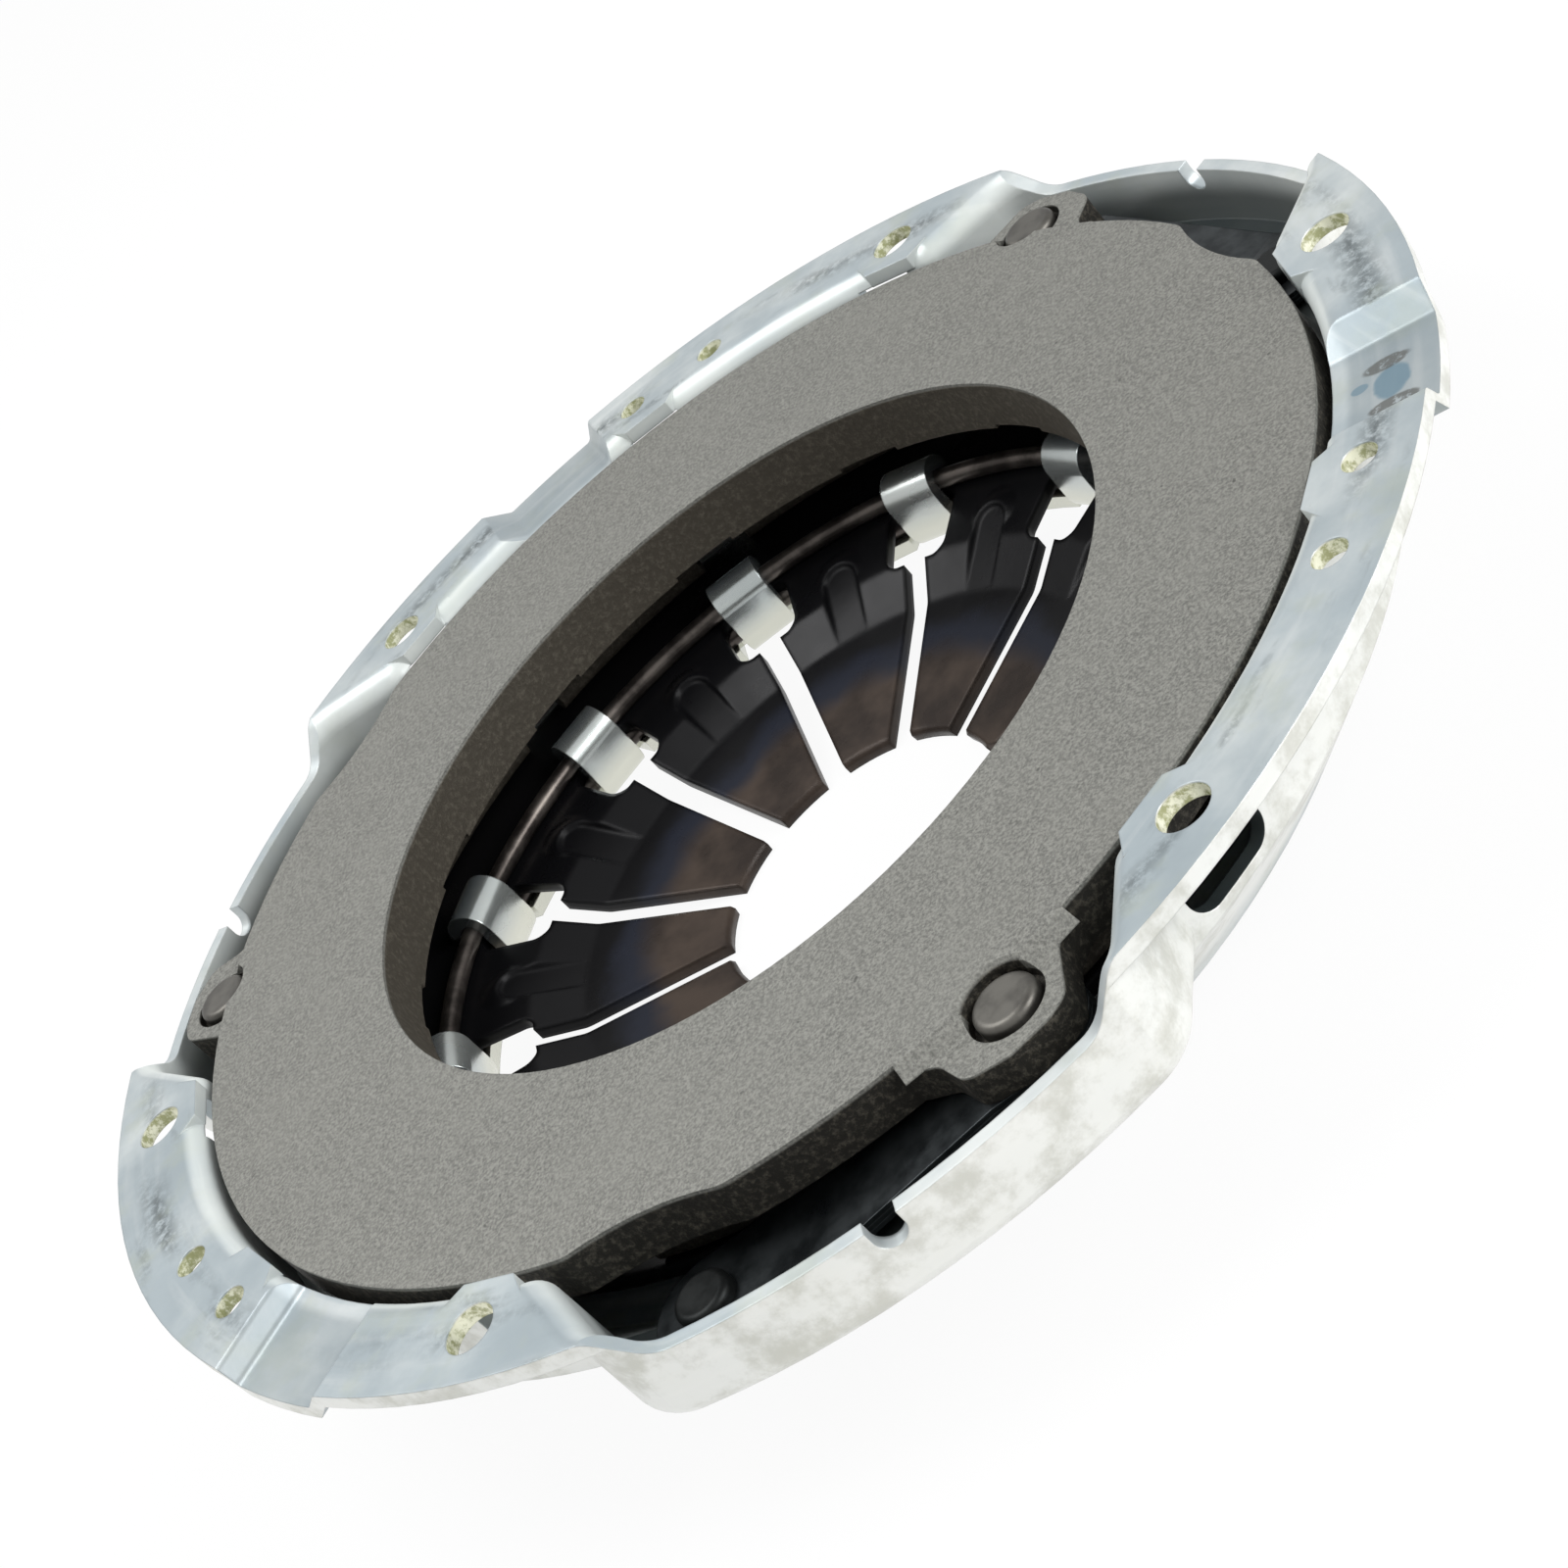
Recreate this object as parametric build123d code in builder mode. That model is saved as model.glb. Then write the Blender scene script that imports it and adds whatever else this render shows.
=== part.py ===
from build123d import *
import math
import os

os.makedirs("parts", exist_ok=True)

# Sizes are in millimetres, +Z points from the cover's back to the friction face
# The clutch axis is Z, a bolt hole lies on +X, and the finger tips rest on the level of the origin

# Whole assembly
sectors = 3
sector_angle = 360 / sectors
face_z = 40.35
seat_gap = 0.03

# How far a cut runs past what it cuts, and how near two places count as one
past = 30.0
touch = 0.01

# Friction face of the pressure plate, which the other radii follow
plate_r = 112.3
face_w = 38.8
bore_r = plate_r - face_w

# Diaphragm spring
spring_t = 2.3
spring_inset = 15.1
spring_r = plate_r - spring_inset
spring_depth = 22.0
spring_slope = 0.187
finger_slope = 0.2
tip_r = 28.0
tip_bevel = 0.7
fingers = 12
finger_angle = 360 / fingers
slot_w = 4.85
tip_chamfer = 2.0

# Fulcrum rings and hooks
wire_r = 1.8
wire_inset = 5.5
wire_pitch_r = bore_r + wire_inset
hook_w = 10.5
hook_gap = 0.1
hook_relief_w = 2.2
hook_relief_l = 3.2

# Openings, channels and domes of the spring's fingers
window_l = 14.3
window_margin = 0.7
window_out_r = wire_pitch_r - window_margin
window_in_r = window_out_r - window_l
window_half_angle = 5.9
window_corner_r = 3.0
pad_r = window_in_r + 0.5
pad_l = 8.5
finger_r = pad_r - pad_l
root_round = 5.0
channel_reach = 6.4
channel_r = pad_r + channel_reach
channel_w = 6.4
channel_lean = 35.0
dome_in = 4.6
dome_r = wire_pitch_r - wire_r - dome_in
dome_w = 9.2
dome_rise = 0.75

# Pressure plate
bore_chamfer = 0.8
plate_edge_t = 7.8
plate_step_w = 11.3
plate_step_t = 9.0
plate_inner_t = 11.0
ridge_inset = 2.8
ridge_half_w = 1.7
ridge_foot_w = 7.0
ridge_foot_t = 3.5
ridge_gap_w = 11.0
recess_angle = 13.0
recess_depth = 2.8
recess_round = 50.0
recess_corner_r = 6.0
relief_w = 13.0
relief_depth = 0.8
relief_l = 12.0

# Cover, whose wall stands outside the pressure plate
sheet_t = 2.8
flange_rise = 2.1
flange_w = 17.8
wall_gap = 1.9
wall_h = 18.7
bend_round = 4.5
shoulder_inset = 1.4
shoulder_round = 5.0
back_hole_inset = 2.5
bolt_inset = 8.3
bolt_hole_r = 4.35
bolt_angles = (0, 60)
dowel_hole_r = 3.0
dowel_angles = (81, 90)

# Flat tabs of the flange beside the holes, each above an opening of the wall
tab_angles = (0, 59.6, 89.0)
tab_reach = 4.3
tab_w_in = 10.0
tab_w_out = 17.0
arch_w = 11.5
arch_h = 8.0
arch_angles = (0, 89.0)
side_window_angle = 61.0
side_window_w = 17.0
side_window_h = 11.0
side_window_drop = 4.6
side_window_round = 4.0

# Run-out of the rounded hollows of the flange
wing_l = 8.0
wing_slope = 0.12

# Dips of the flange, with a steep side and a gentle one
dip_angle = 101.0
dip_depth = 3.6
dip_steep = (14.9, 12.6)
dip_gentle = (13.8, 8.6)
dip_round = 1.5

# Pockets of the cover, half way between two bolt holes
pocket_angle = 30
pocket_in_angle = 25.4
pocket_out_angle = 18.2
pocket_root_angle = 35.4
pocket_wall_t = 2.5
pocket_corner_r = 9.0
pocket_entry_r = 4.0
pocket_floor_r = 2.2
rim_drop = 4.8
rim_floor_angle = 16.2
rim_top_angle = 19.3
rim_round = 6.0
notch_w = 5.2
notch_depth = 4.6
rivet_access_r = 7.6

# Lugs of the pressure plate, the outline starts at the rivet and is given outwards and along the rim
lug_angle = 43.7
lug_drop = 2.1
lug_rivet_inset = 3.7
lug_step_w = 2.7
lug_step_from = 35.2
lug_step_to = 51.0
counterbore_r = 6.3
counterbore_depth = 4.0
lug_outline = [(-9, -20), (-4.9, -16.6), (-0.5, -12.1), (6.2, -10.9), (9, -4.4), (9, 2.5), (7.5, 6.5),
               (-1.7, 10.4), (-4.6, 14.3), (-9, 17)]
lug_round = 3.6

# Straps, spacers and rivets
leaves = 3
leaf_t = 0.8
strap_w = 18.4
strap_gap = 0.02
clamp_l = 9.0
seat_l = 20.0
seat_margin = 0.8
cover_rivet_inset = 3.1
cover_rivet_angle = 14.3
shank_r = 3.2
shank_gap = 0.05
washer_r = 7.0
washer_t = 1.0
lug_head_r = 5.2
lug_head_h = 3.1
cover_head_r = 4.75
cover_head_h = 2.4
closed_head_r = 5.2
closed_head_h = 2.2
closed_head_gap = 0.3
head_round = 1.2


def polar(radius, angle):
    """Point of the plan at a radius and an angle in degrees."""
    return (radius * math.cos(math.radians(angle)), radius * math.sin(math.radians(angle)))


def radial_plane(angle):
    """Upright plane through the axis, its local x is the radius and its local y is Z."""
    x, y = polar(1, angle)
    return Plane(origin=(0, 0, 0), x_dir=(x, y, 0), z_dir=(y, -x, 0))


def plan_plane(angle, z=0.0):
    """Level plane turned about the axis."""
    x, y = polar(1, angle)
    return Plane(origin=(0, 0, z), x_dir=(x, y, 0), z_dir=(0, 0, 1))


def cross_plane(angle, radius):
    """Upright plane across the radius, its local y is Z and its normal points outwards."""
    x, y = polar(1, angle)
    return Plane(origin=(radius * x, radius * y, 0), x_dir=(-y, x, 0), z_dir=(x, y, 0))


def under(line, thickness):
    """The other face of a sheet whose upper face runs inwards along the line."""
    normals = []
    for (ax, ay), (bx, by) in zip(line, line[1:]):
        length = math.hypot(bx - ax, by - ay)
        normals.append(((ay - by) / length, (bx - ax) / length))
    normals = [normals[0]] + normals + [normals[-1]]
    points = []
    for (x, y), (ax, ay), (bx, by) in zip(line, normals, normals[1:]):
        share = thickness / (1 + ax * bx + ay * by)
        points.append((x + (ax + bx) * share, y + (ay + by) * share))
    return points


def line_at(line, radius):
    """Height of a line at a radius."""
    for (ax, ay), (bx, by) in zip(line, line[1:]):
        if min(ax, bx) <= radius <= max(ax, bx):
            return ay + (by - ay) * (radius - ax) / (bx - ax)
    return line[-1][1]


# Heights that follow from the sizes
spring_lean = math.hypot(1, spring_slope)
spring_edge_top = face_z - spring_depth
tip_top = spring_t / math.hypot(1, finger_slope)
finger_top = tip_top + finger_slope * (finger_r - tip_r)
pad_top = spring_edge_top - spring_slope * (spring_r - pad_r)
spring_line = [(spring_r, spring_edge_top), (pad_r, pad_top), (finger_r, finger_top), (tip_r, tip_top)]
spring_under = under(spring_line, spring_t)
channel_run = channel_r - finger_r
channel_rise = line_at(spring_line, channel_r) - finger_top
channel_l = math.hypot(channel_run, channel_rise)
front_ring_z = line_at(spring_line, wire_pitch_r) + wire_r * spring_lean + seat_gap
back_ring_z = line_at(spring_under, wire_pitch_r) - wire_r * spring_lean - seat_gap
back_top = back_ring_z - wire_r - hook_gap
back_bottom = back_top - sheet_t
hook_in_r = wire_r + hook_gap
hook_out_r = hook_in_r + sheet_t
hook_foot_r = wire_pitch_r + hook_relief_l

# Places on the cover that follow from the sizes
wall_r = plate_r + wall_gap
flange_r = wall_r + flange_w
bolt_r = wall_r + bolt_inset
flange_top = face_z + flange_rise
flange_bottom = flange_top - sheet_t
wall_foot_z = flange_top - wall_h
back_hole_r = wire_pitch_r - back_hole_inset
shoulder_r = spring_r + shoulder_inset
cone_line = [(wall_r, flange_top), (wall_r, wall_foot_z), (shoulder_r, back_top), (back_hole_r, back_top)]
cone_under = under(cone_line, sheet_t)
pocket_floor_top = wall_foot_z
pocket_floor_bottom = pocket_floor_top - sheet_t
rim_z = face_z - rim_drop

# Places on the plate, the straps and the rivets that follow from the sizes
ridge_r = spring_r - ridge_inset
ridge_round_z = line_at(spring_line, ridge_r) + ridge_half_w * spring_lean + seat_gap
plate_back_z = face_z - plate_inner_t
ridge_shoulder_z = plate_back_z - ridge_foot_t
lug_top = face_z - lug_drop
lug_bottom = face_z - plate_edge_t
lug_rivet_r = plate_r + lug_rivet_inset
counterbore_floor = face_z - counterbore_depth
stack_t = leaves * leaf_t
lug_stack_bottom = lug_bottom - strap_gap - stack_t
cover_seat_top = pocket_floor_top + washer_t + stack_t
cover_rivet_r = wall_r + cover_rivet_inset
cover_rivet_at = polar(cover_rivet_r, cover_rivet_angle)
lug_rivet_at = polar(lug_rivet_r, lug_angle)
strap_run = (lug_rivet_at[0] - cover_rivet_at[0], lug_rivet_at[1] - cover_rivet_at[1])
strap_l = math.hypot(*strap_run)
strap_turn = math.degrees(math.atan2(strap_run[1], strap_run[0]))


def strap_plane(number, z):
    """Level plane of one strap pack, its origin is on the cover rivet and its x runs to the lug rivet."""
    x, y = polar(cover_rivet_r, cover_rivet_angle + number * sector_angle)
    along = polar(1, strap_turn + number * sector_angle)
    return Plane(origin=(x, y, z), x_dir=(along[0], along[1], 0), z_dir=(0, 0, 1))


def strap_section_plane(number):
    """Upright plane along the middle of one strap pack, its local y is Z."""
    x, y = polar(cover_rivet_r, cover_rivet_angle + number * sector_angle)
    along = polar(1, strap_turn + number * sector_angle)
    return Plane(origin=(x, y, 0), x_dir=(along[0], along[1], 0), z_dir=(along[1], -along[0], 0))


# Front fulcrum ring
with BuildPart() as fulcrum_ring_front:
    with BuildSketch(Plane.XZ):
        with Locations((wire_pitch_r, front_ring_z)):
            Circle(wire_r)
    revolve(axis=Axis.Z)

# Back fulcrum ring
with BuildPart() as fulcrum_ring_back:
    with BuildSketch(Plane.XZ):
        with Locations((wire_pitch_r, back_ring_z)):
            Circle(wire_r)
    revolve(axis=Axis.Z)

# Outline of the opening at the root of each finger slot
with BuildSketch() as spring_window:
    Circle(window_out_r)
    Circle(window_in_r, mode=Mode.SUBTRACT)
    with BuildLine():
        Polyline((0, 0), polar(window_out_r * 2, window_half_angle),
                 polar(window_out_r * 2, -window_half_angle), close=True)
    make_face(mode=Mode.INTERSECT)
    fillet(spring_window.vertices(), window_corner_r)

# Channel pressed into one finger, it ends round on the cone, and the sheet under its floor
channel_floor = Plane(origin=(finger_r, 0, finger_top), x_dir=(channel_run, 0, channel_rise),
                      z_dir=(-channel_rise, 0, channel_run))
with BuildSketch() as channel_plan:
    with Locations((channel_l / 2 - channel_w / 4, 0)):
        Rectangle(channel_l - channel_w / 2, channel_w)
    with Locations((channel_l - channel_w / 2, 0)):
        Circle(channel_w / 2)
with BuildPart() as channel_cut:
    with BuildSketch(channel_floor):
        add(channel_plan.sketch)
    extrude(amount=spring_t, taper=-channel_lean)
with BuildPart() as channel_sheet:
    with BuildSketch(channel_floor):
        add(channel_plan.sketch)
        offset(amount=spring_t / 2)
    extrude(amount=-spring_t, taper=channel_lean)

# Low dome between one channel and the rings
dome_ball_r = ((dome_w / 2) ** 2 + dome_rise ** 2) / (2 * dome_rise)
dome_base = line_at(spring_line, dome_r) - spring_t / 2
with BuildPart() as finger_dome:
    with Locations((dome_r, 0, line_at(spring_line, dome_r) + dome_rise - dome_ball_r)):
        Sphere(dome_ball_r)
    with BuildSketch(Plane.XY.offset(dome_base)):
        with Locations((dome_r, 0)):
            Circle(dome_w)
    extrude(amount=past, mode=Mode.INTERSECT)

# Diaphragm spring, a coned disc
with BuildPart() as diaphragm_spring:
    with BuildSketch(Plane.XZ) as spring_section:
        with BuildLine():
            Polyline(*spring_line, *reversed(spring_under), close=True)
        make_face()
        fillet(spring_section.vertices().filter_by(lambda v: finger_r - 2 < v.X < pad_r + 2), root_round)
        chamfer(spring_section.vertices().sort_by(Axis.X)[:2].sort_by(Axis.Y)[-1], tip_bevel)
    revolve(axis=Axis.Z)
    with PolarLocations(0, fingers, start_angle=finger_angle / 2):
        add(finger_dome.part)
        add(channel_sheet.part)
    with PolarLocations(0, fingers, start_angle=finger_angle / 2):
        add(channel_cut.part, mode=Mode.SUBTRACT)
    with BuildSketch(Plane.XY.offset(-past)):
        with PolarLocations(0, fingers):
            with Locations((window_in_r / 2, 0)):
                Rectangle(window_in_r, slot_w)
            flare = tip_chamfer + slot_w / 2
            with BuildLine():
                Polyline((0, 0), (tip_r, flare), (tip_r + tip_chamfer, slot_w / 2),
                         (tip_r + tip_chamfer, -slot_w / 2), (tip_r, -flare), close=True)
            make_face()
    extrude(amount=face_z + past, mode=Mode.SUBTRACT)
    with BuildSketch(Plane.XY.offset(-past)):
        with PolarLocations(0, fingers):
            add(spring_window.sketch)
    extrude(amount=face_z + past, mode=Mode.SUBTRACT)

# Plan of one pocket's inside, it opens into the round wall of the cover
with BuildSketch() as pocket_plan:
    Circle(flange_r - pocket_wall_t)
    in_u, in_v = polar(wall_r, pocket_in_angle)
    out_u, out_v = polar(flange_r, pocket_out_angle)
    lean = (in_v - out_v) / (out_u - in_u)
    near_u, near_v = in_u - flange_w / 2, in_v + lean * flange_w / 2
    far_u, far_v = out_u + flange_w, out_v - lean * flange_w
    with BuildLine():
        Polyline((near_u, near_v), (far_u, far_v), (far_u, -far_v), (near_u, -near_v), close=True)
    make_face(mode=Mode.INTERSECT)
    fillet(pocket_plan.vertices().group_by(Axis.X)[-1], pocket_corner_r)
    pocket_inside = pocket_plan.sketch
    Circle(wall_r)
    entries = pocket_plan.vertices().filter_by(lambda v: abs(v.X - in_u) < touch)
    fillet(entries, pocket_entry_r)
    with BuildLine():
        side_u, side_v = polar(2 * flange_r, pocket_root_angle)
        Polyline((0, 0), (side_u, side_v), (side_u, -side_v), close=True)
    make_face(mode=Mode.INTERSECT)
    Circle(wall_r - flange_w / 2, mode=Mode.SUBTRACT)

# Inside of one pocket
with BuildPart() as pocket_hollow:
    with BuildSketch(Plane.XY.offset(pocket_floor_top)):
        add(pocket_plan.sketch)
    extrude(amount=face_z + past - pocket_floor_top)

# Outside of one pocket
with BuildPart() as pocket_block:
    with BuildSketch(Plane.XY.offset(pocket_floor_bottom)):
        add(pocket_inside)
        offset(amount=sheet_t)
    extrude(amount=flange_top - pocket_floor_bottom)
    low_edges = pocket_block.faces().sort_by(Axis.Z)[0].edges()
    fillet(low_edges.filter_by(lambda e: e.center().X > in_u), pocket_floor_r + sheet_t)


def dip_outline(top, floor):
    """Section of a dip across the flange between two levels."""
    steep_top, steep_floor = dip_steep
    gentle_top, gentle_floor = dip_gentle
    return [(-steep_top, top), (-steep_floor, floor), (gentle_floor, floor), (gentle_top, top)]


def rounded_hollow(points, radius):
    """Section of a hollow of the flange, its corners are rounded and its upper ends run out on the top."""
    (left, top), (right, _) = points[0], points[-1]
    wing_top = top + wing_l * wing_slope
    FilletPolyline((left - wing_l, wing_top), *points, (right + wing_l, wing_top), radius=radius)
    Polyline((left - wing_l, wing_top), (left - wing_l, top + wing_l), (right + wing_l, top + wing_l),
             (right + wing_l, wing_top))


# Hollow over the rim of one pocket, with a notch in its middle
with BuildPart() as rim_hollow:
    with BuildSketch(cross_plane(0, wall_r)):
        rim_top_v = polar(flange_r, rim_top_angle)[1]
        rim_floor_v = polar(flange_r, rim_floor_angle)[1]
        with BuildLine():
            rounded_hollow([(-rim_top_v, flange_top), (-rim_floor_v, rim_z), (rim_floor_v, rim_z),
                            (rim_top_v, flange_top)], rim_round)
        make_face()
        with Locations((0, rim_z)):
            Rectangle(notch_w, 2 * notch_depth - notch_w)
        with Locations((0, rim_z - notch_depth + notch_w / 2)):
            Circle(notch_w / 2)
    extrude(amount=past)

# Underside of one dip of the flange
with BuildPart() as dip_block:
    with BuildSketch(cross_plane(0, wall_r)):
        with BuildLine():
            Polyline(*dip_outline(flange_bottom, flange_bottom - dip_depth), close=True)
        make_face()
    extrude(amount=flange_w)

# Cover, pressed from one sheet, first as wide as the bend at the mouth of the pockets needs
with BuildPart() as cover:
    with BuildSketch(Plane.XZ):
        with BuildLine():
            Polyline((0, back_bottom), *reversed(cone_under[1:3]), (wall_r + sheet_t, flange_bottom),
                     (flange_r + bend_round, flange_bottom), (flange_r + bend_round, flange_top),
                     (0, flange_top), close=True)
        make_face()
    revolve(axis=Axis.Z)
    back_bends = cover.edges().filter_by(GeomType.CIRCLE)
    fillet(back_bends.filter_by_position(Axis.Z, back_bottom - touch, back_bottom + touch), shoulder_round)
    with PolarLocations(0, sectors, start_angle=pocket_angle):
        add(pocket_block.part)
    with PolarLocations(0, sectors, start_angle=dip_angle):
        add(dip_block.part)
    with BuildSketch(Plane.XZ) as hollow_section:
        with BuildLine():
            Polyline((0, back_top), (shoulder_r, back_top), (wall_r, wall_foot_z), (wall_r, face_z + past),
                     (0, face_z + past), close=True)
        make_face()
        fillet(hollow_section.vertices().filter_by(lambda v: abs(v.X - shoulder_r) < touch),
               shoulder_round - sheet_t)
    revolve(axis=Axis.Z, mode=Mode.SUBTRACT)
    with PolarLocations(0, sectors, start_angle=pocket_angle):
        add(pocket_hollow.part, mode=Mode.SUBTRACT)
    mouth = cover.faces().filter_by(Plane.XY).sort_by(Axis.Z)[-1].inner_wires()
    fillet(mouth.edges(), bend_round)
    with BuildSketch(Plane.XY.offset(flange_top)):
        Circle(flange_r + past)
        Circle(flange_r, mode=Mode.SUBTRACT)
    extrude(amount=-wall_h - past, mode=Mode.SUBTRACT)
    # Flat tabs of the flange, and the openings of the wall under them
    with BuildSketch(Plane.XY.offset(flange_bottom)):
        for first in tab_angles:
            with PolarLocations(0, sectors, start_angle=first):
                Polygon((wall_r, -tab_w_in / 2), (wall_r + tab_reach, -tab_w_out / 2),
                        (wall_r + tab_reach, tab_w_out / 2), (wall_r, tab_w_in / 2), align=None)
    extrude(amount=sheet_t)
    for number in range(sectors):
        for first in arch_angles:
            with BuildSketch(cross_plane(first + number * sector_angle, wall_r - wall_gap)):
                with Locations((0, flange_bottom - arch_h / 2)):
                    Rectangle(arch_w, arch_h)
            extrude(amount=wall_gap + sheet_t + bend_round / 2, mode=Mode.SUBTRACT)
        with BuildSketch(cross_plane(side_window_angle + number * sector_angle, wall_r - wall_gap)):
            with Locations((0, flange_bottom - side_window_drop - side_window_h / 2)):
                RectangleRounded(side_window_w, side_window_h, side_window_round)
            with Locations((0, flange_bottom - side_window_drop)):
                Rectangle(arch_w, 2 * side_window_drop)
        extrude(amount=wall_gap + sheet_t + bend_round / 2, mode=Mode.SUBTRACT)
    # Rim of each pocket, lower than the flange
    with PolarLocations(0, sectors, start_angle=pocket_angle):
        add(rim_hollow.part, mode=Mode.SUBTRACT)
    # Dips of the flange
    for number in range(sectors):
        with BuildSketch(cross_plane(dip_angle + number * sector_angle, back_hole_r)):
            with BuildLine():
                rounded_hollow(dip_outline(flange_top, flange_top - dip_depth), dip_round)
            make_face()
        extrude(amount=flange_r, mode=Mode.SUBTRACT)
    # Holes of the flange
    with BuildSketch(Plane.XY.offset(flange_top)):
        for first in bolt_angles:
            with PolarLocations(bolt_r, sectors, start_angle=first):
                Circle(bolt_hole_r)
        for first in dowel_angles:
            with PolarLocations(bolt_r, sectors, start_angle=first):
                Circle(dowel_hole_r)
    extrude(amount=-2 * sheet_t, mode=Mode.SUBTRACT)
    # Holes of the pocket floors, for the cover rivets and for setting the lug rivets
    with BuildSketch(Plane.XY.offset(pocket_floor_top + sheet_t)):
        with PolarLocations(cover_rivet_r, sectors, start_angle=cover_rivet_angle):
            Circle(shank_r + shank_gap)
        with PolarLocations(lug_rivet_r, sectors, start_angle=lug_angle):
            Circle(rivet_access_r)
    extrude(amount=-4 * sheet_t, mode=Mode.SUBTRACT)
    # Opening of the back, with a notch at each side of every hook
    with BuildSketch(Plane.XY.offset(back_top + sheet_t)):
        Circle(back_hole_r)
        with PolarLocations(0, fingers):
            with Locations((hook_foot_r / 2, 0)):
                Rectangle(hook_foot_r, hook_w + 2 * hook_relief_w)
    extrude(amount=-3 * sheet_t, mode=Mode.SUBTRACT)
    # Hooks, bent up through the spring and curled over the front ring
    for number in range(fingers):
        with BuildSketch(radial_plane(number * finger_angle)):
            with BuildLine():
                Line((hook_foot_r, back_top), (wire_pitch_r, back_top))
                CenterArc((wire_pitch_r, back_ring_z), hook_in_r, 270, -90)
                Line((wire_pitch_r - hook_in_r, back_ring_z), (wire_pitch_r - hook_in_r, front_ring_z))
                CenterArc((wire_pitch_r, front_ring_z), hook_in_r, 180, -180)
                Line((wire_pitch_r + hook_in_r, front_ring_z), (wire_pitch_r + hook_out_r, front_ring_z))
                CenterArc((wire_pitch_r, front_ring_z), hook_out_r, 0, 180)
                Line((wire_pitch_r - hook_out_r, front_ring_z), (wire_pitch_r - hook_out_r, back_ring_z))
                CenterArc((wire_pitch_r, back_ring_z), hook_out_r, 180, 90)
                Line((wire_pitch_r, back_bottom), (hook_foot_r, back_bottom))
                Line((hook_foot_r, back_bottom), (hook_foot_r, back_top))
            make_face()
        extrude(amount=hook_w / 2, both=True)
    with BuildSketch(Plane.XZ):
        with Locations((wire_pitch_r, front_ring_z), (wire_pitch_r, back_ring_z)):
            Circle(wire_r + hook_gap / 2)
    revolve(axis=Axis.Z, mode=Mode.SUBTRACT)
    # Flats under the closed heads of the cover rivets
    with BuildSketch(Plane.XY.offset(pocket_floor_bottom)):
        with PolarLocations(cover_rivet_r, sectors, start_angle=cover_rivet_angle):
            Circle(closed_head_r + closed_head_gap)
    extrude(amount=-closed_head_h - sheet_t, mode=Mode.SUBTRACT)

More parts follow.
